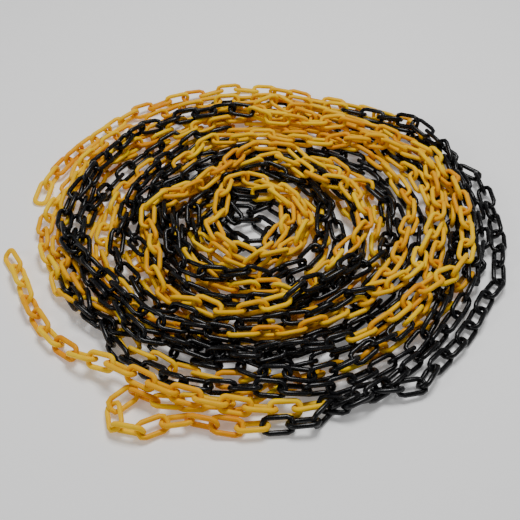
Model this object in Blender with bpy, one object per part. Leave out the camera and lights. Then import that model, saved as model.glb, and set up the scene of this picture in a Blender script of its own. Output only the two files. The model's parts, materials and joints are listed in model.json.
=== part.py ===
"""Plastic barrier chain, 25 m of yellow and black links, laid down loose as a round coil.

The chain is 918 equal links, moulded in colour runs of 25 links. It lies in two layers: from its free
tail it spirals inwards on the upper layer, turns back at the middle, spirals outwards on the floor and
goes once round the outside. The links of the tail and of the far end are real links, one object each.
Each colour run inside the pile is one solid of the chain's outer shape along its route.

Metres, +Z up, the floor at z = 0, the middle of the outer box over the origin.
"""

import math

import bpy
import numpy as np
from mathutils import Matrix, Vector

# One link: a round bar bent into a long loop.
BAR = 0.006
LINK_LENGTH = 0.039
LINK_WIDTH = 0.022
BOW_CORNER = 0.0063  # radius of the bar's middle line at the four corners
JOINT_PLAY = 0.0005  # free gap between the bars of two joined links
LEAN = 45.0  # a link lies rolled this far about the chain's line, and the next one the other way
END_LEAN = 90.0  # the far end lies with one link flat and the next one on its edge

# The chain.
LINKS_PER_RUN = 25
RUNS = 36
TAIL_LINKS = 18
END_LINKS = 6  # the last ones of the last run

# The coil.
TURN_GAP = 0.0022
TURN_SHIFT = 0.5 * TURN_GAP  # each turn lies this much further to -X than the one outside it
LAYER_GAP = 0.0004
RUN_GAP = 0.0007
CUT_CLEAR = 0.0025  # a cut between two tubes keeps this far from the nearest corner
EYE_RADIUS = 0.034  # the floor layer's innermost turn
STATIONS = 30  # corners of the tubes in one turn
OUT_OF_ROUND = 0.012
OVAL_AT = 20.0
THREE_LOBES_AT = 75.0

# Detail of the solids.
BAR_SIDES = 8
CORNER_STEPS = 2
TUBE_SHOULDER = 0.58  # half width of a tube's flat top and foot, as a share of its half width

# Colours, roughness and gloss of the two plastics.
YELLOW = (0.86, 0.56, 0.02, 1.0)
BLACK = (0.012, 0.013, 0.014, 1.0)
YELLOW_ROUGHNESS = 0.42
BLACK_ROUGHNESS = 0.30

PITCH = LINK_LENGTH - 2 * BAR - JOINT_PLAY
CHAIN_SIZE = (LINK_WIDTH - BAR) * math.cos(math.radians(LEAN)) + BAR
TURN_PITCH = CHAIN_SIZE + TURN_GAP
LAYER_PITCH = CHAIN_SIZE + LAYER_GAP
LINKS = TAIL_LINKS + RUNS * LINKS_PER_RUN

# Where the route leaves its spirals, as (degrees round the coil, turns out from the outermost one,
# layers up from the floor). The tail lies outside the coil, passes over the fold and climbs.
TAIL_ROUTE = [
    (188.4, 1.42, 0.0), (190.4, 1.12, 0.0), (193.0, 0.88, 0.0), (196.5, 0.7, 0.0), (201.5, 0.62, 0.0),
    (207.0, 0.56, 0.0), (212.5, 0.46, 0.0), (217.0, 0.33, 0.012), (221.0, 0.14, 0.09), (225.5, -0.16, 0.4),
    (230.0, -0.5, 0.82), (234.5, -0.72, 1.02), (241.0, -0.8, 1.03), (248.0, -0.76, 1.03),
    (254.0, -0.78, 1.0), (261.0, -0.87, 0.78), (268.0, -0.98, 0.33), (276.0, -1.03, 0.03),
]
# The slack fold, where the floor layer's last turn doubles back outside the coil.
FOLD_ROUTE = [
    (263.0, -2.02, 0.0), (257.0, -1.98, 0.0), (251.5, -1.68, 0.0), (246.5, -1.2, 0.0),
    (242.0, -0.7, 0.0), (238.4, -0.2, 0.0), (236.0, 0.3, 0.0), (235.2, 0.85, 0.0),
    (236.4, 1.35, 0.0), (239.7, 1.6, 0.0), (244.3, 1.42, 0.0), (250.0, 0.95, 0.0),
    (256.5, 0.5, 0.0), (265.0, 0.14, 0.0), (276.0, 0.0, 0.0),
]
SMOOTH_STEPS = 3
TAIL_CLIMB = (288.0, 306.0)
UPPER_FROM = 300.0
FLOOR_TO = 240.0
FLOOR_FROM_FOLD = 270.0
OUTER_TURN = (288.0, 492.0)
END_RISE = (492.0, 497.0)
END_AT = 530.0
END_DRIFT = 0.35
END_STEPS = 12
END_SWING = 0.0015  # room for the last moving link to swing up against the last tube
STEP_OUT = (306.0, 345.0)
STEP_BACK = (560.0, 590.0)
STEP_FADE = 1440.0
LEFT_FILL = (450.0, 520.0, 0.75)  # the outermost floor turn spreads out again by this many turns

# Stretches of the upper layer that were thrown over the pile: (from, to, degrees of the whole route;
# turns outwards).
THROWN = [
    (1392.0, 1512.0, 2.6),
    (1548.0, 1656.0, 2.3),
    (2124.0, 2232.0, 3.2),
    (2604.0, 2700.0, -2.0),
    (2724.0, 2832.0, 1.5),
    (3204.0, 3288.0, 1.5),
    (3420.0, 3516.0, 1.0),
    (4068.0, 4188.0, -1.4),
]
THROW_RAMP = 36.0
THROW_LIFT = 24.0
THROW_HEIGHT = 1.05


def ease(value, start, end):
    """0 before start, 1 after end, and a smooth S between them."""
    t = min(max((value - start) / (end - start), 0.0), 1.0)
    return t * t * (3 - 2 * t)


def place(degrees, turns, layers, outer_radius):
    """A point of the route. The coil is slightly out of round and out of centre, and every turn follows."""
    a = math.radians(degrees)
    oval = math.cos(2 * a - math.radians(OVAL_AT)) + 0.6 * math.cos(3 * a - math.radians(THREE_LOBES_AT))
    r = (outer_radius + turns * TURN_PITCH) * (1 + OUT_OF_ROUND * oval)
    x = r * math.cos(a) + turns * TURN_SHIFT
    return Vector((x, r * math.sin(a), CHAIN_SIZE / 2 + layers * LAYER_PITCH))


def smoothed(points, steps):
    """A rounded line through the points, with this many steps from each to the next."""
    rounded = []
    for n in range(len(points) - 1):
        a, b, c, d = points[max(n - 1, 0)], points[n], points[n + 1], points[min(n + 2, len(points) - 1)]
        for k in range(steps):
            t = k / steps
            here = 2 * b + t * (c - a) + t**2 * (2 * a - 5 * b + 4 * c - d) + t**3 * (3 * b - a - 3 * c + d)
            here /= 2
            here.z = max(here.z, CHAIN_SIZE / 2)
            rounded.append(here)
    return [*rounded, points[-1]]


def thrown(degrees):
    """(turns outwards, layers up) of the stretches thrown over the pile. They rise before they move over."""
    turns = layers = 0.0
    for start, end, reach in THROWN:
        turns += reach * ease(degrees, start, start + THROW_RAMP) * (1 - ease(degrees, end - THROW_RAMP, end))
        lifted = ease(degrees, start - THROW_LIFT, start) * (1 - ease(degrees, end, end + THROW_LIFT))
        layers += THROW_HEIGHT * lifted
    return turns, layers


def upper_turns(degrees):
    """Turns out from the outermost one on the upper layer, which winds inwards."""
    return -1.0 - (degrees - UPPER_FROM) / 360.0


def floor_turns(degrees):
    """The same on the floor layer. Its outer turns step out to where the tail isn't on the floor."""
    round_once = (degrees - FLOOR_TO) % 360.0 + FLOOR_TO
    back = 1 - ease(round_once, *STEP_BACK)
    stepped = ease(round_once, *STEP_OUT) * back * max(0.0, 1 - (degrees - STEP_OUT[0]) / STEP_FADE)
    filled = LEFT_FILL[2] * ease(degrees, *LEFT_FILL[:2]) * back if degrees < FLOOR_TO + 360 else 0.0
    return -2.0 - (degrees - FLOOR_TO) / 360.0 + stepped + filled


def stations(start, end):
    """The tubes' corners stand on the same spokes in every turn, so neighbours run parallel."""
    step = 360.0 / STATIONS
    return [n * step for n in range(math.ceil(start / step), math.floor(end / step) + 1)]


def middle_turn(entry_degrees, entry, leave):
    """Two half circles through the coil's middle, which turn the chain back and set it down on the floor.
    entry and leave are (radius, x of that turn's middle)."""
    points = []
    steps = STATIONS // 2
    for n in range(1, 2 * steps):
        t = n / (2 * steps)
        half = min(2 * t, 1.0) if t <= 0.5 else 2 * t - 1
        radius = entry[0] / 2 if t <= 0.5 else leave[0] / 2
        middle = entry[1] + t * (leave[1] - entry[1])
        centre = entry_degrees if t <= 0.5 else entry_degrees + 180.0
        a = math.radians(centre)
        b = math.radians(entry_degrees + 180.0 * half if t <= 0.5 else entry_degrees - 180.0 * half)
        z = CHAIN_SIZE / 2 + LAYER_PITCH * (1 - ease(t, 0.2, 0.8))
        points.append(Vector((
            middle + radius * (math.cos(a) + math.cos(b)), radius * (math.sin(a) + math.sin(b)), z
        )))
    return points


def route(outer_radius):
    """The chain's line from the tail's tip to the far end, for a coil whose outermost turn has this radius."""
    points = smoothed([place(*p, outer_radius) for p in TAIL_ROUTE], SMOOTH_STEPS)
    floor_in = FLOOR_TO + 360.0 * ((outer_radius - EYE_RADIUS) / TURN_PITCH - 2.0)
    upper_in = floor_in + 180.0
    eye = place(upper_in, upper_turns(upper_in), 1.0, outer_radius)
    for degrees in stations(TAIL_CLIMB[0], upper_in - 4.0):
        turns, layers = thrown(degrees)
        climbed = ease(degrees, *TAIL_CLIMB)
        points.append(place(degrees, min(upper_turns(degrees), -1.0) + turns, climbed + layers, outer_radius))
    points.append(eye)
    exit_point = place(floor_in, floor_turns(floor_in), 0.0, outer_radius)
    ways = []
    for point, turns in ((eye, upper_turns(upper_in)), (exit_point, floor_turns(floor_in))):
        ways.append((math.hypot(point.x - turns * TURN_SHIFT, point.y), turns * TURN_SHIFT))
    points += middle_turn(upper_in, *ways)
    points.append(exit_point)
    for degrees in reversed(stations(FLOOR_FROM_FOLD, floor_in - 4.0)):
        points.append(place(degrees, floor_turns(degrees), 0.0, outer_radius))
    points += smoothed([place(*p, outer_radius) for p in FOLD_ROUTE], SMOOTH_STEPS)
    points += [place(d, 0.0, 0.0, outer_radius) for d in stations(*OUTER_TURN)]
    edge_up = (LINK_WIDTH - CHAIN_SIZE) / 2 / LAYER_PITCH
    for n in range(1, END_STEPS + 1):
        degrees = OUTER_TURN[1] + (END_AT - OUTER_TURN[1]) * n / END_STEPS
        drift = END_DRIFT * ease(degrees, OUTER_TURN[1], END_AT)
        points.append(place(degrees, drift, edge_up * ease(degrees, *END_RISE), outer_radius))
    return points


def joint_points(points):
    """Where the links join: points of the line at one PITCH from each other, from the tail's tip, each with
    its distance along the line."""
    found = [(points[0], 0.0)]
    segment, here, passed = 0, points[0], 0.0
    while True:
        last = found[-1][0]
        while segment + 1 < len(points) and (points[segment + 1] - last).length < PITCH:
            passed += (points[segment + 1] - here).length
            segment += 1
            here = points[segment]
        if segment + 1 == len(points):
            return found
        way = points[segment + 1] - here
        gone = here - last
        b, c = way.dot(gone), gone.length_squared - PITCH**2
        t = (-b + math.sqrt(b * b - way.length_squared * c)) / way.length_squared
        here = here + t * way
        passed += t * way.length
        found.append((here, passed))


def fitted_radius():
    """The outermost turn's radius at which the whole chain fits the route."""
    low, high = EYE_RADIUS + 4 * TURN_PITCH, 1.0
    for _ in range(22):
        middle = (low + high) / 2
        if len(joint_points(route(middle))) - 1 < LINKS:
            low = middle
        else:
            high = middle
    return high


def plastic(name, colour, roughness):
    material = bpy.data.materials.new(name)
    material.use_nodes = True
    shader = material.node_tree.nodes["Principled BSDF"]
    shader.inputs["Base Color"].default_value = colour
    shader.inputs["Roughness"].default_value = roughness
    shader.inputs["Metallic"].default_value = 0.0
    material.diffuse_color = colour
    return material


def add_object(name, points, faces, material, matrix=None):
    mesh = bpy.data.meshes.new(name)
    mesh.from_pydata([tuple(p) for p in points], [], faces)
    mesh.materials.append(material)
    mesh.shade_smooth()
    mesh.set_sharp_from_angle(angle=math.radians(50))
    made = bpy.data.objects.new(name, mesh)
    if matrix is not None:
        made.matrix_world = matrix
    bpy.context.scene.collection.objects.link(made)
    return made


def swept(rings, closed):
    """Points and faces of a skin over rings of equal size, closed on itself or capped at both ends."""
    count, sides = len(rings), len(rings[0])
    points = [p for ring in rings for p in ring]
    faces = []
    for n in range(count if closed else count - 1):
        a, b = n * sides, (n + 1) % count * sides
        for k in range(sides):
            m = (k + 1) % sides
            faces.append((a + k, a + m, b + m, b + k))
    if not closed:
        faces.append(tuple(range(sides - 1, -1, -1)))
        faces.append(tuple(range((count - 1) * sides, count * sides)))
    return points, faces


def link_outline():
    """The middle line of a link's bar: a long rectangle with round corners, in the XY plane."""
    half_length, half_width = (LINK_LENGTH - BAR) / 2, (LINK_WIDTH - BAR) / 2
    corner = min(BOW_CORNER, half_width)
    outline = []
    for quarter, (sx, sy) in enumerate([(1, 1), (-1, 1), (-1, -1), (1, -1)]):
        centre = Vector((sx * (half_length - corner), sy * (half_width - corner), 0))
        for step in range(CORNER_STEPS + 1):
            a = math.radians(90 * quarter + 90 * step / CORNER_STEPS)
            outline.append((centre + corner * Vector((math.cos(a), math.sin(a), 0)), a))
    return outline


def link_shape():
    rings = []
    for centre, a in link_outline():
        out = Vector((math.cos(a), math.sin(a), 0))
        rings.append([
            centre + BAR / 2 * (math.sin(b) * Vector((0, 0, 1)) - math.cos(b) * out)
            for b in (2 * math.pi * k / BAR_SIDES for k in range(BAR_SIDES))
        ])
    return swept(rings, closed=True)


def add_link(name, material, joint, far, lean, pivot):
    """A link from its joint to its far end, its face rolled by lean degrees, its origin at the pivot."""
    along = (joint - far).normalized()
    side = Vector((0, 0, 1)).cross(along).normalized()
    up = along.cross(side)
    roll = math.radians(lean)
    normal = up * math.cos(roll) + side * math.sin(roll)
    turn = Matrix((along, normal.cross(along), normal)).transposed()
    offset = turn.inverted() @ ((joint + far) / 2 - pivot)
    points, faces = link_shape()
    matrix = turn.to_4x4()
    matrix.translation = pivot
    return add_object(name, [p + offset for p in points], faces, material, matrix)


def tip_on_floor(joints):
    """The same joints, with the free end of the first link let down until its bar touches the floor."""
    near, far = joints[1], joints[0]
    slope = math.asin((near.z - BAR / 2) / (PITCH + (BAR + JOINT_PLAY) / 2))
    way = flat_direction(far - near) * math.cos(slope) - Vector((0, 0, math.sin(slope)))
    return [near + PITCH * way, *joints[1:]]


def add_links(prefix, count, material, joints, leans):
    """Links from a free end inwards. Each turns about the end bow of the next one."""
    for n in range(count):
        inner_end = joints[n + 1] - joints[n + 2]
        pivot = joints[n + 1] + inner_end.normalized() * ((BAR + JOINT_PLAY) / 2)
        add_link(f"{prefix}_{n + 1:02d}", material, joints[n + 1], joints[n], leans[n % 2], pivot)


def flat_direction(vector):
    return Vector((vector.x, vector.y, 0)).normalized()


def tube_shape(points, first_way, last_way):
    """The chain's outer shape along a stretch of its route: six-sided, with a flat top and foot."""
    half = CHAIN_SIZE / 2
    flat = half * TUBE_SHOULDER
    section = [(half, 0), (flat, half), (-flat, half), (-half, 0), (-flat, -half), (flat, -half)]
    ways = [flat_direction(b - a) for a, b in zip(points, points[1:])]
    rings = []
    for n, here in enumerate(points):
        arriving = first_way if n == 0 else ways[n - 1]
        leaving = last_way if n == len(ways) else ways[n]
        along = first_way if n == 0 else last_way if n == len(ways) else (arriving + leaving).normalized()
        side = Vector((-along.y, along.x, 0))
        mitre = 1 / along.dot(leaving) if 0 < n < len(ways) else 1.0
        rings.append([here + side * (x * mitre) + Vector((0, 0, z)) for x, z in section])
    return swept(rings, closed=False)


def run_tube(points, lengths, start, end):
    """The tube from one distance along the line to another, cut square to the line at both."""
    near = CUT_CLEAR / 2
    inner = [points[n] for n in range(len(points)) if start + near < lengths[n] < end - near]
    ways = []
    for at in (start, end):
        n = segment_at(lengths, at)
        ways.append(flat_direction(points[n + 1] - points[n]))
    return tube_shape([point_at(points, lengths, start), *inner, point_at(points, lengths, end)], *ways)


def segment_at(lengths, distance):
    return min(max(int(np.searchsorted(lengths, distance)) - 1, 0), len(lengths) - 2)


def point_at(points, lengths, distance):
    n = segment_at(lengths, distance)
    t = (distance - lengths[n]) / (lengths[n + 1] - lengths[n])
    return points[n].lerp(points[n + 1], float(t))


def clear_of_corners(lengths, distance):
    """A cut's distance along the line, moved a little where a corner would be right beside it."""
    n = segment_at(lengths, distance)
    room = min(CUT_CLEAR, (lengths[n + 1] - lengths[n]) / 2)
    return float(min(max(distance, lengths[n] + room), lengths[n + 1] - room))


def centre_on_floor():
    """Moves everything so that the middle of its outer box is over the origin."""
    bpy.context.view_layer.update()
    parts = bpy.context.scene.objects
    corners = np.array([tuple(part.matrix_world @ v.co) for part in parts for v in part.data.vertices])
    middle = (corners.min(axis=0) + corners.max(axis=0)) / 2
    for part in parts:
        part.location -= Vector((middle[0], middle[1], 0))


def main():
    for old in list(bpy.data.objects):
        bpy.data.objects.remove(old)
    yellow = plastic("yellow_plastic", YELLOW, YELLOW_ROUGHNESS)
    black = plastic("black_plastic", BLACK, BLACK_ROUGHNESS)
    outer_radius = fitted_radius()
    line = route(outer_radius)
    found = joint_points(line)
    joints, distances = [point for point, _ in found], [distance for _, distance in found]
    print(f"outermost turn {outer_radius:.4f} m, {len(joints) - 1} links, {len(line)} corners")

    lengths = np.concatenate([[0.0], np.cumsum([(b - a).length for a, b in zip(line, line[1:])])])

    add_links("tail_link", TAIL_LINKS, yellow, joints, (-LEAN, LEAN))
    for run in range(RUNS):
        first = TAIL_LINKS + run * LINKS_PER_RUN
        start = clear_of_corners(lengths, distances[first]) + RUN_GAP / 2
        end = clear_of_corners(lengths, distances[first + LINKS_PER_RUN]) - RUN_GAP / 2
        if run == 0:
            start = distances[first] + RUN_GAP / 2 + BAR + JOINT_PLAY
        if run == RUNS - 1:
            end = distances[LINKS - END_LINKS] - RUN_GAP / 2 - BAR - JOINT_PLAY - END_SWING
        colour, material = ("yellow", yellow) if run % 2 else ("black", black)
        add_object(f"{colour}_run_{run + 1:02d}", *run_tube(line, lengths, start, end), material)
    add_links("end_link", END_LINKS, yellow, tip_on_floor(joints[LINKS::-1]), (0.0, END_LEAN))
    centre_on_floor()


main()
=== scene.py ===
import json
import math

import bpy
import numpy as np
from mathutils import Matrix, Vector


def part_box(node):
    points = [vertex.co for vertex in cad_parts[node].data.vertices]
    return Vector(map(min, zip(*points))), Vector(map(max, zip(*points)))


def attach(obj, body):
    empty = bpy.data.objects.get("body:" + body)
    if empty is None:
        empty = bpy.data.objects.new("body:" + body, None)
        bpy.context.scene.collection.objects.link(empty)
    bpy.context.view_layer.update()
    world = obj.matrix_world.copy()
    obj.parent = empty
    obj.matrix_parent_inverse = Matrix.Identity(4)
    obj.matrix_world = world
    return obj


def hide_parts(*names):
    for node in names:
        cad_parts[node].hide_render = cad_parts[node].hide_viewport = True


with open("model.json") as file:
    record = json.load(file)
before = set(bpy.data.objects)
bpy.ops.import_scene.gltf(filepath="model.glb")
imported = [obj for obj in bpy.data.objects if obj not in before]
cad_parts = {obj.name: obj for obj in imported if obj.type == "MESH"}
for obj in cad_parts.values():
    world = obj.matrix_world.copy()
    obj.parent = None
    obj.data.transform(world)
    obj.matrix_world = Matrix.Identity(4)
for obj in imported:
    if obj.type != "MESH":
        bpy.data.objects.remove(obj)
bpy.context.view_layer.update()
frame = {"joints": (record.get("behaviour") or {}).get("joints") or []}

# ---------------------------------------------------------------------------------------------------
# The floor the coil lies on: a wide pale sheet, flat for some metres and then curling up all round, so
# that no edge of it shows from any side.
# ---------------------------------------------------------------------------------------------------
FLOOR_HALF_SIDE = 6.0
FLOOR_LINES = 61
FLOOR_FLAT = 3.2
FLOOR_RISE = 0.35
FLOOR_BELOW = 0.0002  # the floor lies this far under the chain, so that the two never share a plane
FLOOR_GREY = 0.95
FLOOR_DULL = 0.75
FLOOR_GLOW = 0.16


def floor_sheet():
    """A square grid whose height is FLOOR_RISE times the square of the distance past FLOOR_FLAT."""
    across = np.linspace(-FLOOR_HALF_SIDE, FLOOR_HALF_SIDE, FLOOR_LINES)
    x, y = np.meshgrid(across, across, indexing="ij")
    z = FLOOR_RISE * np.maximum(np.hypot(x, y) - FLOOR_FLAT, 0.0) ** 2
    return np.stack([x, y, z - FLOOR_BELOW], axis=-1)


def skin(points, closed_u, closed_v):
    """Faces between neighbours of a grid of points, wrapped round in a direction that is closed."""
    rows, columns = points.shape[:2]
    u, v = np.meshgrid(np.arange(rows - (not closed_u)), np.arange(columns - (not closed_v)), indexing="ij")
    u1, v1 = (u + 1) % rows, (v + 1) % columns
    quads = np.stack([u * columns + v, u * columns + v1, u1 * columns + v1, u1 * columns + v], axis=-1)
    return quads.reshape(-1, 4)


def mesh_piece(name, points, faces, material):
    """An object at the origin with these points and faces, shaded smooth, in one material."""
    mesh = bpy.data.meshes.new(name)
    mesh.from_pydata(points.reshape(-1, 3).tolist(), [], faces.tolist())
    mesh.polygons.foreach_set("use_smooth", np.ones(len(faces), dtype=bool))
    mesh.materials.append(material)
    mesh.update()
    piece = bpy.data.objects.new(name, mesh)
    bpy.context.scene.collection.objects.link(piece)
    return piece


floor_paint = bpy.data.materials.new("floor_paint")
floor_paint.use_nodes = True
floor_shader = floor_paint.node_tree.nodes["Principled BSDF"]
floor_shader.inputs["Base Color"].default_value = (FLOOR_GREY, FLOOR_GREY, FLOOR_GREY, 1)
floor_shader.inputs["Roughness"].default_value = FLOOR_DULL
floor_shader.inputs["Emission Color"].default_value = (1, 1, 1, 1)
floor_shader.inputs["Emission Strength"].default_value = FLOOR_GLOW
floor_points = floor_sheet()
floor = mesh_piece("floor", floor_points, skin(floor_points, False, False), floor_paint)

# ---------------------------------------------------------------------------------------------------
# The camera stands in front of the coil, about a metre from its middle, and looks down on it.
# ---------------------------------------------------------------------------------------------------
CAMERA_TILT = 45.0  # degrees above the floor, seen from COIL_MIDDLE
CAMERA_AWAY = 1.06
CAMERA_LENS = 58.4
CAMERA_SENSOR = 36.0
COIL_MIDDLE = Vector((0.002, 0.0032, 0.02))
AIM_BELOW = 2.6  # degrees below the coil's middle that it looks

camera = bpy.data.objects.new("camera", bpy.data.cameras.new("camera"))
camera.data.sensor_width = CAMERA_SENSOR
camera.data.lens = CAMERA_LENS
tilt = math.radians(CAMERA_TILT)
camera.location = COIL_MIDDLE + CAMERA_AWAY * Vector((0.0, -math.cos(tilt), math.sin(tilt)))
camera.rotation_euler = (math.radians(90 - CAMERA_TILT - AIM_BELOW), 0.0, 0.0)
bpy.context.scene.collection.objects.link(camera)
bpy.context.scene.camera = camera

# ---------------------------------------------------------------------------------------------------
# The colour runs: moulded polyethylene links, 25 of one colour and then 25 of the other. Each link is
# moulded through the one before it, so nothing but the links themselves holds the chain together.
# ---------------------------------------------------------------------------------------------------
BAR = 0.006
LINK_LENGTH = 0.039
LINK_WIDTH = 0.022
BOW_CORNER = 0.0063  # radius of the bar's middle line at the four corners
JOINT_PLAY = 0.0005  # free gap between the bars of two joined links
LEAN = 45.0  # a link lies rolled this far about the chain's line, and the next one the other way
END_LEAN = 90.0  # the far end lies with one link flat and the next one on its edge
PITCH = LINK_LENGTH - 2 * BAR - JOINT_PLAY
TAIL_LINKS = 18
LINKS_PER_RUN = 25
RUNS = 36
END_LINKS = 6
LINKS = TAIL_LINKS + RUNS * LINKS_PER_RUN

TURN_GAP = 0.0022
TURN_SHIFT = 0.5 * TURN_GAP  # each turn lies this much further to -X than the one outside it
LAYER_GAP = 0.0004
CHAIN_SIZE = (LINK_WIDTH - BAR) * math.cos(math.radians(LEAN)) + BAR
TURN_PITCH = CHAIN_SIZE + TURN_GAP
LAYER_PITCH = CHAIN_SIZE + LAYER_GAP
EYE_RADIUS = 0.034  # the floor layer's innermost turn
OUT_OF_ROUND = 0.012
OVAL_AT = 20.0
THREE_LOBES_AT = 75.0
STATIONS = 30  # corners of the chain's line in one turn
SMOOTH_STEPS = 3

# The lay of the chain where it leaves its spirals, as (degrees round the coil, turns out from the
# outermost one, layers up): the tail outside the coil, and the slack fold next to it.
TAIL_ROUTE = np.array([
    (188.4, 1.42, 0.0), (190.4, 1.12, 0.0), (193.0, 0.88, 0.0), (196.5, 0.7, 0.0), (201.5, 0.62, 0.0),
    (207.0, 0.56, 0.0), (212.5, 0.46, 0.0), (217.0, 0.33, 0.012), (221.0, 0.14, 0.09),
    (225.5, -0.16, 0.4), (230.0, -0.5, 0.82), (234.5, -0.72, 1.02), (241.0, -0.8, 1.03),
    (248.0, -0.76, 1.03), (254.0, -0.78, 1.0), (261.0, -0.87, 0.78), (268.0, -0.98, 0.33),
    (276.0, -1.03, 0.03),
])
FOLD_ROUTE = np.array([
    (263.0, -2.02, 0.0), (257.0, -1.98, 0.0), (251.5, -1.68, 0.0), (246.5, -1.2, 0.0),
    (242.0, -0.7, 0.0), (238.4, -0.2, 0.0), (236.0, 0.3, 0.0), (235.2, 0.85, 0.0), (236.4, 1.35, 0.0),
    (239.7, 1.6, 0.0), (244.3, 1.42, 0.0), (250.0, 0.95, 0.0), (256.5, 0.5, 0.0), (265.0, 0.14, 0.0),
    (276.0, 0.0, 0.0),
])
# Stretches of the upper layer thrown over the pile: (from, to, degrees along the spiral; turns outwards).
THROWN = np.array([
    (1392.0, 1512.0, 2.6), (1548.0, 1656.0, 2.3), (2124.0, 2232.0, 3.2), (2604.0, 2700.0, -2.0),
    (2724.0, 2832.0, 1.5), (3204.0, 3288.0, 1.5), (3420.0, 3516.0, 1.0), (4068.0, 4188.0, -1.4),
])
THROW_RAMP = 36.0
THROW_LIFT = 24.0
THROW_HEIGHT = 1.05
# Degrees round the coil where each stretch begins and ends.
TAIL_CLIMB = (288.0, 306.0)
UPPER_FROM = 300.0
FLOOR_TO = 240.0
FLOOR_FROM_FOLD = 270.0
OUTER_TURN = (288.0, 492.0)
END_RISE = (492.0, 497.0)
END_AT = 530.0
END_DRIFT = 0.35
END_STEPS = 12
STEP_OUT = (306.0, 345.0)
STEP_BACK = (560.0, 590.0)
STEP_FADE = 1440.0
LEFT_FILL = (450.0, 520.0, 0.75)  # the outermost floor turn spreads out again by this many turns
SET_DOWN = (0.2, 0.8)  # shares of the middle turn between which the chain goes down to the floor


def ease(value, start, end):
    """0 before start, 1 after end, 3t^2 - 2t^3 between them."""
    t = np.clip((np.asarray(value, float) - start) / (end - start), 0.0, 1.0)
    return t * t * (3 - 2 * t)


def place(degrees, turns, layers, outer):
    """Radius = outer turn's radius plus turns of TURN_PITCH, times a slight oval and a slight triangle;
    each turn's middle lies TURN_SHIFT further to -X than that of the turn outside it."""
    a = np.radians(degrees)
    oval = np.cos(2 * a - math.radians(OVAL_AT)) + 0.6 * np.cos(3 * a - math.radians(THREE_LOBES_AT))
    r = (outer + turns * TURN_PITCH) * (1 + OUT_OF_ROUND * oval)
    z = CHAIN_SIZE / 2 + layers * LAYER_PITCH + 0 * a
    return np.stack([r * np.cos(a) + turns * TURN_SHIFT, r * np.sin(a), z], axis=-1)


def smoothed(points):
    """Catmull-Rom: each step blends four neighbouring points by cubics of the share t of the way."""
    padded = np.concatenate([points[:1], points, points[-1:]])
    a, b, c, d = (padded[k : k + len(points) - 1, None] for k in range(4))
    t = (np.arange(SMOOTH_STEPS) / SMOOTH_STEPS)[None, :, None]
    line = (2 * b + t * (c - a) + t**2 * (2 * a - 5 * b + 4 * c - d) + t**3 * (3 * b - a - 3 * c + d)) / 2
    line = np.concatenate([line.reshape(-1, 3), points[-1:]])
    line[:, 2] = np.maximum(line[:, 2], CHAIN_SIZE / 2)
    return line


def spokes(start, end):
    """The whole multiples of 360 / STATIONS degrees from start to end."""
    step = 360.0 / STATIONS
    return np.arange(math.ceil(start / step), math.floor(end / step) + 1) * step


def thrown(degrees):
    """(turns outwards, layers up) of the stretches thrown over the pile: each is its reach, or THROW_HEIGHT,
    eased in before and out after it. They rise before they move over."""
    turns, layers = 0.0, 0.0
    for start, end, reach in THROWN:
        moved_out = ease(degrees, start, start + THROW_RAMP)
        turns = turns + reach * moved_out * (1 - ease(degrees, end - THROW_RAMP, end))
        lifted = THROW_HEIGHT * ease(degrees, start - THROW_LIFT, start)
        layers = layers + lifted * (1 - ease(degrees, end, end + THROW_LIFT))
    return turns, layers


def upper_turns(degrees):
    """Turns out from the outermost one on the upper layer: -1, and one less for each turn inwards."""
    return -1 - (degrees - UPPER_FROM) / 360


def floor_turns(degrees):
    """The same on the floor layer: -2 and one less for each turn inwards, plus a step out over part of each
    turn, which fades inwards, plus what fills the left side of the outermost one."""
    round_once = (degrees - FLOOR_TO) % 360 + FLOOR_TO
    back = 1 - ease(round_once, *STEP_BACK)
    stepped = ease(round_once, *STEP_OUT) * back * np.maximum(0, 1 - (degrees - STEP_OUT[0]) / STEP_FADE)
    filled = LEFT_FILL[2] * ease(degrees, *LEFT_FILL[:2]) * back * (degrees < FLOOR_TO + 360)
    return -2.0 - (degrees - FLOOR_TO) / 360 + stepped + filled


def middle_turn(entry_degrees, entry, leave):
    """Two half circles through the coil's middle, the second one turning the other way, while the height
    eases from the upper layer to the floor. entry and leave are (radius, x of that turn's middle)."""
    t = np.arange(1, STATIONS) / STATIONS
    first = t <= 0.5
    x = entry[1] + t * (leave[1] - entry[1])
    radius = np.where(first, entry[0], leave[0]) / 2
    centre = np.radians(np.where(first, entry_degrees, entry_degrees + 180))
    arm = np.radians(np.where(first, entry_degrees + 360 * t, entry_degrees - 180 * (2 * t - 1)))
    z = CHAIN_SIZE / 2 + LAYER_PITCH * (1 - ease(t, *SET_DOWN))
    x = x + radius * (np.cos(centre) + np.cos(arm))
    return np.stack([x, radius * (np.sin(centre) + np.sin(arm)), z], 1)


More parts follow.
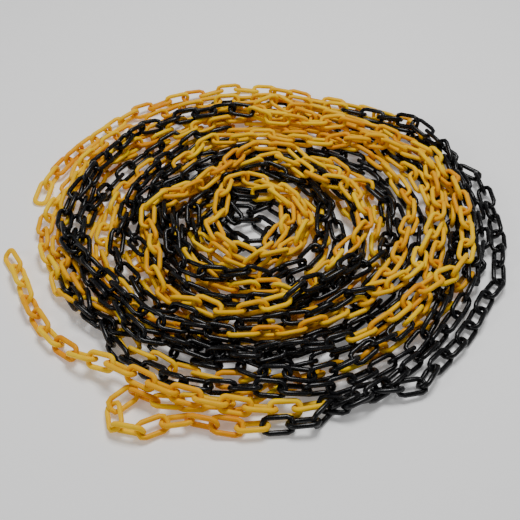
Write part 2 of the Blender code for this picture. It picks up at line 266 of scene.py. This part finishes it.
def laid_line(outer):
    """The chain's line: tail, upper layer winding in, S turn in the middle, floor layer winding out,
    the slack fold outside the coil, and the outermost turn."""
    tail = smoothed(place(*TAIL_ROUTE.T, outer))
    floor_in = FLOOR_TO + 360.0 * ((outer - EYE_RADIUS) / TURN_PITCH - 2.0)
    upper_in = floor_in + 180.0
    a = spokes(TAIL_CLIMB[0], upper_in - 4.0)
    over, lift = thrown(a)
    upper = place(a, np.minimum(upper_turns(a), -1.0) + over, ease(a, *TAIL_CLIMB) + lift, outer)
    eye_shift = upper_turns(upper_in) * TURN_SHIFT
    eye = place(upper_in, upper_turns(upper_in), 1.0, outer)
    gate_shift = floor_turns(floor_in) * TURN_SHIFT
    gate = place(floor_in, floor_turns(floor_in), 0.0, outer)
    entry = math.hypot(eye[0] - eye_shift, eye[1]), eye_shift
    leave = math.hypot(gate[0] - gate_shift, gate[1]), gate_shift
    middle = middle_turn(upper_in, entry, leave)
    a = spokes(FLOOR_FROM_FOLD, floor_in - 4.0)[::-1]
    lower = place(a, floor_turns(a), 0.0, outer)
    fold = smoothed(place(*FOLD_ROUTE.T, outer))
    a = spokes(*OUTER_TURN)
    around = place(a, 0.0 * a, 0.0, outer)
    a = OUTER_TURN[1] + (END_AT - OUTER_TURN[1]) * np.arange(1, END_STEPS + 1) / END_STEPS
    edge_up = (LINK_WIDTH - CHAIN_SIZE) / 2 / LAYER_PITCH
    last = place(a, END_DRIFT * ease(a, OUTER_TURN[1], END_AT), edge_up * ease(a, *END_RISE), outer)
    return np.concatenate([tail, upper, eye[None], middle, gate[None], lower, fold, around, last])


def link_ends(line):
    """Points of the line at one PITCH from each other: each lies where a sphere of that radius round the
    one before cuts the line again."""
    found = [line[0]]
    n, here = 0, line[0]
    while True:
        while n + 1 < len(line) and np.linalg.norm(line[n + 1] - found[-1]) < PITCH:
            n += 1
            here = line[n]
        if n + 1 == len(line):
            return np.array(found)
        way, gone = line[n + 1] - here, here - found[-1]
        b, c, w = way @ gone, gone @ gone - PITCH**2, way @ way
        here = here + way * ((-b + math.sqrt(b * b - w * c)) / w)
        found.append(here)


# The outermost turn's radius at which the whole chain fits its line, found by halving.
low, high = EYE_RADIUS + 4 * TURN_PITCH, 1.0
for _ in range(22):
    half_way = (low + high) / 2
    if len(link_ends(laid_line(half_way))) - 1 < LINKS:
        low = half_way
    else:
        high = half_way
ends = link_ends(laid_line(high))[: LINKS + 1]

# The coil stands with the middle of its box over the origin; a link in the tail shows by how much.
MEASURED_LINK = 12
link_middle = np.array([list(corner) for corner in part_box(f"tail_link_{MEASURED_LINK}")]).mean(axis=0)
ends[:, :2] += (link_middle - (ends[MEASURED_LINK - 1] + ends[MEASURED_LINK]) / 2)[:2]

# The far end lies with one link flat and the next on its edge, and the last link's tip is on the floor.
slope = math.asin((ends[-2, 2] - BAR / 2) / (PITCH + (BAR + JOINT_PLAY) / 2))
tip_way = (ends[-1] - ends[-2])[:2]
tip_way = np.append(tip_way / np.linalg.norm(tip_way), 0.0)
ends[-1] = ends[-2] + PITCH * (tip_way * math.cos(slope) - np.array([0, 0, math.sin(slope)]))
lean = np.where(np.arange(LINKS) % 2, LEAN, -LEAN)
lean[-END_LINKS:] = np.tile([END_LEAN, 0.0], END_LINKS // 2)


def turned(starts, stops, degrees):
    """One frame per link: x along it, z its face's normal, which is up turned about x by the lean."""
    along = stops - starts
    along = along / np.linalg.norm(along, axis=1, keepdims=True)
    side = np.stack([-along[:, 1], along[:, 0], 0 * along[:, 0]], axis=1)
    side = side / np.linalg.norm(side, axis=1, keepdims=True)
    roll = np.radians(degrees)[:, None]
    normal = np.cross(along, side) * np.cos(roll) + side * np.sin(roll)
    return np.stack([along, np.cross(normal, along), normal], axis=2)


# Points along the bar, for finding where two links touch: five on each side, one halfway round each
# corner's bend and one in the middle of each end.
HALF_LENGTH = (LINK_LENGTH - BAR) / 2
HALF_WIDTH = (LINK_WIDTH - BAR) / 2
BEND_MIDDLE = (0.01465, 0.00615)  # from the link's middle to halfway round a corner's bend
side_x = np.linspace(BOW_CORNER - HALF_LENGTH, HALF_LENGTH - BOW_CORNER, 5)
BAR_POINTS = np.concatenate([
    np.stack([side_x, 0 * side_x + HALF_WIDTH, 0 * side_x], axis=1),
    np.stack([side_x, 0 * side_x - HALF_WIDTH, 0 * side_x], axis=1),
    np.multiply([(1, 1, 0), (-1, 1, 0), (-1, -1, 0), (1, -1, 0)], (*BEND_MIDDLE, 0.0)),
    [(HALF_LENGTH, 0.0, 0.0), (-HALF_LENGTH, 0.0, 0.0)],
])
BAR_POINT_COUNT = len(BAR_POINTS)

# How the chain settles: metres and degrees in one step, and how many steps.
CONTACT = 0.0064  # bar points nearer than this push each other apart
NEAR_LINKS = 0.046  # links whose middles are further apart than this can't touch
NEAR_POINTS = 0.005  # points this much further apart than CONTACT are watched
WATCH_STEPS = 5  # the watched pairs are found again after this many steps
SINK = 0.00024
DRIFT = 0.0003
SPREAD = 0.0006
MOST_SHIFT = 0.0015
MOST_TURN = 5.0
MOST_MOVED = 0.016  # a joint stays this near to where it was laid, seen from above
ROLL_PLAY = 28.0
MOST_BEND = 64.0
FLOOR_CLEAR = 0.0003
SHAKE_STEPS = 300
SETTLE_STEPS = 450
SHAKE_SEED = 11


def bar_points(joints, roll):
    """(frames, points): each link's frame, and the middle between its joints + frame times BAR_POINTS."""
    frames = turned(joints[:-1], joints[1:], roll)
    points = np.einsum("nij,pj->npi", frames, BAR_POINTS) + ((joints[:-1] + joints[1:]) / 2)[:, None]
    return frames, points


def near_pairs(points):
    """Numbers of all pairs of bar points of two links, not next to each other, that are near: first by the
    links' middles, then point by point."""
    middles = points.mean(axis=1)
    away = ((middles[:, None] - middles[None]) ** 2).sum(axis=-1)
    one, two = np.nonzero(np.triu(away < NEAR_LINKS**2, 2))
    gaps = ((points[one][:, :, None] - points[two][:, None]) ** 2).sum(axis=-1)
    pair, p, q = np.nonzero(gaps < (CONTACT + NEAR_POINTS) ** 2)
    return one[pair] * BAR_POINT_COUNT + p, two[pair] * BAR_POINT_COUNT + q


def pushes(points, one, two):
    """(moves, touched) of each bar point: half of what each pair lacks to CONTACT, along the line between
    the two, plus what it lacks to lie on the floor; and how many things touch it."""
    flat = points.reshape(-1, 3)
    gap = flat[one] - flat[two]
    length = np.linalg.norm(gap, axis=1)
    hit = length < CONTACT
    push = gap[hit] * (0.5 * (CONTACT / length[hit] - 1))[:, None]
    both = np.concatenate([one[hit], two[hit]])
    pushed = [np.bincount(both, np.append(push[:, k], -push[:, k]), len(flat)) for k in range(3)]
    moves = np.stack(pushed, 1)
    touched = np.bincount(both, minlength=len(flat)).astype(float)
    under = np.maximum(BAR / 2 - flat[:, 2], 0.0)
    moves[:, 2] += under
    touched += under > 0
    return moves.reshape(-1, BAR_POINT_COUNT, 3), touched.reshape(-1, BAR_POINT_COUNT)


def joint_shifts(moves, touched):
    """A bar point's move is shared by its link's two joints as its place between them says, and a joint
    shifts by the sum of its shares over 0.4 times the touches that made them, or over 0.8."""
    share = np.clip(BAR_POINTS[:, 0] / PITCH + 0.5, 0.0, 1.0)
    total = np.zeros((LINKS + 1, 3))
    weight = np.zeros(LINKS + 1)
    total[:-1] += ((1 - share)[:, None] * moves).sum(axis=1)
    total[1:] += (share[:, None] * moves).sum(axis=1)
    weight[:-1] += (touched * (1 - share)).sum(axis=1)
    weight[1:] += (touched * share).sum(axis=1)
    return total / np.maximum(0.4 * weight, 0.8)[:, None]


def link_turns(moves, touched, frames):
    """Degrees that each link rolls: the sum of move along its normal times arm, over that of arm squared."""
    arm = BAR_POINTS[:, 1]
    turn = -(np.einsum("npi,ni->np", moves, frames[:, :, 2]) * arm)
    turn = turn.sum(axis=1) / np.maximum((touched * arm**2).sum(axis=1), 0.5 * HALF_WIDTH**2)
    return np.clip(np.degrees(turn), -MOST_TURN, MOST_TURN)


def smooth_noise(generator, count, width):
    """Random values along the chain, each the bell-weighted sum of its neighbours, scaled to spread 1."""
    bell = np.hanning(width + 2)[1:-1]
    values = np.convolve(generator.normal(size=count + width - 1), bell, mode="valid")
    return values / values.std()


def outward_drift(start):
    """Each joint's drift away from the middle, in shares of SPREAD: 1 in the outer turns at the left front,
    and -0.7 in the outermost turn on the right. The two runs next to the tail have none, so that the
    lifted tail passes clear of them."""
    radius = np.linalg.norm(start[:, :2], axis=1)
    bearing = np.degrees(np.arctan2(start[:, 1], start[:, 0])) % 360
    out = ease(bearing, 165, 185) * (1 - ease(bearing, 222, 232)) * ease(radius, 0.2, 0.26)
    out -= 0.7 * (1 - ease(bearing, 50, 80) * (1 - ease(bearing, 280, 300))) * ease(radius, 0.274, 0.284)
    out = start[:, :2] / radius[:, None] * out[:, None]
    out[TAIL_LINKS : TAIL_LINKS + 2 * LINKS_PER_RUN + 1] = 0.0
    return out


def held_apart(joints, loose, span, least, most):
    """Moves joints span apart in number so that their distance is between least and most, sharing the
    move between the two that are loose."""
    for start in range(2 * span):
        n = np.arange(start, len(joints) - span, 2 * span)
        way = joints[n + span] - joints[n]
        length = np.linalg.norm(way, axis=1)
        wrong = (length - np.clip(length, least, most)) / length
        share = loose[n] / np.maximum(loose[n] + loose[n + span], 1e-9)
        joints[n] += way * (wrong * share)[:, None]
        share = loose[n + span] / np.maximum(loose[n] + loose[n + span], 1e-9)
        joints[n + span] -= way * (wrong * share)[:, None]


def kept_square(roll, loose_link):
    """Rolls each link and the next one back, by half of what they are past ROLL_PLAY from square, twice."""
    for _ in range(2):
        off = (np.diff(roll) % 180.0) - 90.0
        wrong = 0.5 * (off - np.clip(off, -ROLL_PLAY, ROLL_PLAY))
        roll[:-1] += wrong * loose_link[:-1]
        roll[1:] -= wrong * loose_link[1:]


def settled(start, roll):
    """The chain shaken and let sink for SHAKE_STEPS, then left to come to rest. Each step: bar points
    that are too near push their links apart and turn them; every joint sinks by SINK, and drifts sideways
    by its own slow noise and by its outward drift; then each link gets its length back, bends by at most
    MOST_BEND at a joint and stays within ROLL_PLAY of square to the next one. At the end a link that is
    still in the floor is lifted out. The real links at the two ends stay as they lie."""
    generator = np.random.default_rng(SHAKE_SEED)
    joints, roll = start.copy(), roll.copy()
    loose = np.ones(LINKS + 1)
    loose[: TAIL_LINKS + 1] = loose[-END_LINKS - 1 :] = 0.0
    loose_link = np.ones(LINKS)
    loose_link[:TAIL_LINKS] = loose_link[-END_LINKS:] = 0.0
    drift = smooth_noise(generator, LINKS + 1, 9) + 0.6 * smooth_noise(generator, LINKS + 1, 4)
    spin = smooth_noise(generator, LINKS, 2)
    outwards = outward_drift(start)
    for step in range(SETTLE_STEPS):
        frames, points = bar_points(joints, roll)
        if step % WATCH_STEPS == 0:
            one, two = near_pairs(points)
        moves, touched = pushes(points, one, two)
        shift = joint_shifts(moves, touched)
        shaking = 1 - ease(step, 0.45 * SHAKE_STEPS, 0.65 * SHAKE_STEPS)
        way = np.gradient(joints, axis=0)
        side = np.stack([-way[:, 1], way[:, 0]], axis=1) / np.linalg.norm(way[:, :2], axis=1, keepdims=True)
        shift[:, :2] += side * (DRIFT * shaking * drift)[:, None] + SPREAD * shaking * outwards
        shift[:, 2] -= SINK * (1 - ease(step, 0.72 * SHAKE_STEPS, 0.84 * SHAKE_STEPS))
        size = np.linalg.norm(shift, axis=1)
        shift *= np.minimum(1.0, MOST_SHIFT / np.maximum(size, 1e-9))[:, None] * loose[:, None]
        joints += shift
        roll += link_turns(moves, touched, frames) * loose_link + shaking * spin * loose_link
        kept_square(roll, loose_link)
        moved = joints - start
        far = np.linalg.norm(moved[:, :2], axis=1)
        kept = np.minimum(1.0, MOST_MOVED / np.maximum(far, 1e-9))[:, None]
        joints[:, :2] = start[:, :2] + moved[:, :2] * kept
        held_apart(joints, loose, 2, 2 * PITCH * math.cos(math.radians(MOST_BEND / 2)), 2 * PITCH)
        for _ in range(6):
            held_apart(joints, loose, 1, PITCH, PITCH)
    for _ in range(3):
        points = bar_points(joints, roll)[1]
        under = np.maximum(BAR / 2 + FLOOR_CLEAR - points[..., 2].min(axis=1), 0.0)
        joints[:, 2] += np.maximum(np.append(under, 0.0), np.append(0.0, under)) * loose
    return joints, roll


ends, lean = settled(ends, lean)


def link_grid(steps, sides, seam):
    """A round bar swept along a long rectangle with round corners: (steps * 4) places by (sides) round it.
    Place = corner centre + BOW_CORNER out, point = place + r * (sin b up - cos b out), where r is BAR / 2
    and swells by seam in a narrow line where the bar crosses its own plane."""
    a = np.radians(90 * np.repeat(np.arange(4), steps) + np.tile(np.linspace(0, 90, steps), 4))
    corner_x = (HALF_LENGTH - BOW_CORNER) * np.repeat([1, -1, -1, 1], steps)
    corner_y = (HALF_WIDTH - BOW_CORNER) * np.repeat([1, 1, -1, -1], steps)
    out = np.stack([np.cos(a), np.sin(a), 0 * a], axis=1)
    middle = np.stack([corner_x, corner_y, 0 * a], axis=1) + BOW_CORNER * out
    b = 2 * math.pi * np.arange(sides) / sides
    up = np.array([0.0, 0.0, 1.0])
    bar = -np.cos(b)[None, :, None] * out[:, None] + np.sin(b)[None, :, None] * up
    radius = BAR / 2 + seam * np.abs(np.cos(b)) ** 40
    return middle[:, None] + radius[None, :, None] * bar


CLOUD_SCALE = 60.0
SCUFF_SCALE = 420.0
WAVE_SCALE = 260.0
WAVE_DEPTH = 0.0004
DUST_COLOUR = (0.55, 0.52, 0.46, 1)
PLASTIC_IOR = 1.51


def plastic(name, deep, bright, roughness, sheen, dust, glow):
    """Moulded polyethylene. Colour = deep to bright by half a slow noise + each link's own shade, and dust
    of up to its share where the scuffs are; roughness rises by 0.25 with the scuffs, and the surface has
    the faint waviness of a cooled moulding. Glow is how far light passes through the plastic."""
    material = bpy.data.materials.new(name)
    material.use_nodes = True
    nodes, links = material.node_tree.nodes, material.node_tree.links
    shader = nodes["Principled BSDF"]
    where = nodes.new("ShaderNodeTexCoord")
    shade = nodes.new("ShaderNodeAttribute")
    shade.attribute_name = "shade"
    slow = nodes.new("ShaderNodeTexNoise")
    slow.inputs["Scale"].default_value = CLOUD_SCALE
    slow.inputs["Detail"].default_value = 3.0
    links.new(where.outputs["Object"], slow.inputs["Vector"])
    both = nodes.new("ShaderNodeMath")
    both.operation = "MULTIPLY_ADD"
    both.inputs[1].default_value = 0.5
    links.new(slow.outputs["Fac"], both.inputs[0])
    links.new(shade.outputs["Fac"], both.inputs[2])
    tone = nodes.new("ShaderNodeValToRGB")
    tone.color_ramp.elements[0].position = 0.15
    tone.color_ramp.elements[0].color = deep
    tone.color_ramp.elements[1].position = 0.75
    tone.color_ramp.elements[1].color = bright
    links.new(both.outputs[0], tone.inputs["Fac"])
    rub = nodes.new("ShaderNodeTexNoise")
    rub.inputs["Scale"].default_value = SCUFF_SCALE
    rub.inputs["Detail"].default_value = 6.0
    rub.inputs["Roughness"].default_value = 0.7
    links.new(where.outputs["Object"], rub.inputs["Vector"])
    worn = nodes.new("ShaderNodeMapRange")
    worn.inputs["From Min"].default_value = 0.60
    worn.inputs["From Max"].default_value = 0.78
    worn.inputs["To Max"].default_value = dust
    links.new(rub.outputs["Fac"], worn.inputs["Value"])
    colour = nodes.new("ShaderNodeMix")
    colour.data_type = "RGBA"
    colour.inputs["B"].default_value = DUST_COLOUR
    links.new(worn.outputs["Result"], colour.inputs["Factor"])
    links.new(tone.outputs["Color"], colour.inputs["A"])
    links.new(colour.outputs["Result"], shader.inputs["Base Color"])
    gloss = nodes.new("ShaderNodeMapRange")
    gloss.inputs["From Min"].default_value = 0.35
    gloss.inputs["From Max"].default_value = 0.75
    gloss.inputs["To Min"].default_value = roughness
    gloss.inputs["To Max"].default_value = roughness + 0.25
    links.new(rub.outputs["Fac"], gloss.inputs["Value"])
    links.new(gloss.outputs["Result"], shader.inputs["Roughness"])
    wave = nodes.new("ShaderNodeTexNoise")
    wave.inputs["Scale"].default_value = WAVE_SCALE
    wave.inputs["Detail"].default_value = 4.0
    links.new(where.outputs["Object"], wave.inputs["Vector"])
    bump = nodes.new("ShaderNodeBump")
    bump.inputs["Strength"].default_value = 0.25
    bump.inputs["Distance"].default_value = WAVE_DEPTH
    links.new(wave.outputs["Fac"], bump.inputs["Height"])
    links.new(bump.outputs["Normal"], shader.inputs["Normal"])
    shader.inputs["IOR"].default_value = PLASTIC_IOR
    shader.inputs["Specular IOR Level"].default_value = sheen
    shader.inputs["Subsurface Weight"].default_value = glow
    shader.inputs["Subsurface Radius"].default_value = (0.004, 0.002, 0.0004)
    shader.inputs["Subsurface Scale"].default_value = 1.0
    return material


YELLOW_DEEP, YELLOW_BRIGHT = (0.76, 0.26, 0.0, 1), (1.0, 0.64, 0.0, 1)
BLACK_DEEP, BLACK_BRIGHT = (0.001, 0.001, 0.0013, 1), (0.003, 0.0033, 0.0045, 1)
SHADE_SEED = 7
SHADE_RANGE = 0.5
yellow = plastic("yellow_plastic", YELLOW_DEEP, YELLOW_BRIGHT, 0.30, 0.12, 0.02, 0.05)
black = plastic("black_plastic", BLACK_DEEP, BLACK_BRIGHT, 0.17, 0.32, 0.01, 0.0)
plain_grid = link_grid(3, 6, 0.0)
plain_faces = skin(plain_grid, True, True)
shades = np.random.default_rng(SHADE_SEED).random(LINKS) * SHADE_RANGE


def shaded(piece, values):
    """Keeps each link's own shade of its colour as a value on its points."""
    shade = piece.data.attributes.new("shade", "FLOAT", "POINT")
    shade.data.foreach_set("value", values.astype(np.float32))


def chain_piece(name, first, count, grid, faces, material):
    """The same link laid at each of its places: point = middle of the link + frame times the link's point."""
    few = slice(first, first + count)
    frames = turned(ends[:-1][few], ends[1:][few], lean[few])
    middles = (ends[:-1][few] + ends[1:][few]) / 2
    points = np.einsum("nij,pj->npi", frames, grid.reshape(-1, 3)) + middles[:, None]
    offsets = np.arange(count)[:, None, None] * grid[..., 0].size
    piece = mesh_piece(name, points, (faces[None] + offsets).reshape(-1, 4), material)
    shaded(piece, np.repeat(shades[few], grid[..., 0].size))
    return piece


for run in range(RUNS):
    colour, material = ("yellow", yellow) if run % 2 else ("black", black)
    first = TAIL_LINKS + run * LINKS_PER_RUN
    count = LINKS_PER_RUN - (END_LINKS if run == RUNS - 1 else 0)
    node = f"{colour}_run_{run + 1:02d}"
    piece = chain_piece(f"{node}_links", first, count, plain_grid, plain_faces, material)
    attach(piece, "coil")
    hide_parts(node)

# ---------------------------------------------------------------------------------------------------
# The two free ends: the same moulded links, but free to be lifted, so each is a piece of its own. They
# are seen closest, so they are rounder and carry the seam where the two halves of the mould met.
# ---------------------------------------------------------------------------------------------------
SEAM = 0.00012  # how far the seam stands up from the bar
fine_grid = link_grid(12, 20, SEAM)
fine_faces = skin(fine_grid, True, True)
moved = {joint["child"] for joint in frame["joints"]}

for name, first, step, count in (("tail_link", 0, 1, TAIL_LINKS), ("end_link", LINKS - 1, -1, END_LINKS)):
    for n in range(count):
        node = f"{name}_{n + 1:02d}"
        at = first + step * n
        piece = chain_piece(f"{node}_fine", at, 1, fine_grid, fine_faces, yellow)
        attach(piece, node if node in moved else "coil")
        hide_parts(node)

# ---------------------------------------------------------------------------------------------------
# Studio light: one wide soft box above and behind, a fill from the left front, and a pale room. Both
# soft boxes face the middle of the coil.
# ---------------------------------------------------------------------------------------------------
ROOM_LIGHT = 0.12


def soft_box(name, location, size, power):
    """A rectangular area light of this size in metres and power in watts, turned to face the origin."""
    light = bpy.data.lights.new(name, "AREA")
    light.shape = "RECTANGLE"
    light.size, light.size_y = size
    light.energy = power
    lamp = bpy.data.objects.new(name, light)
    way = -Vector(location)
    lamp.rotation_euler = way.to_track_quat("-Z", "Y").to_euler()
    lamp.location = location
    bpy.context.scene.collection.objects.link(lamp)


soft_box("top_box", (0.2, 0.35, 1.7), (0.7, 0.6), 26.0)
soft_box("left_box", (-1.5, -0.9, 1.2), (0.6, 0.6), 6.0)
room = bpy.data.worlds.new("room")
room.use_nodes = True
room_light = room.node_tree.nodes["Background"]
room_light.inputs["Color"].default_value = (1, 1, 1, 1)
room_light.inputs["Strength"].default_value = ROOM_LIGHT
bpy.context.scene.world = room
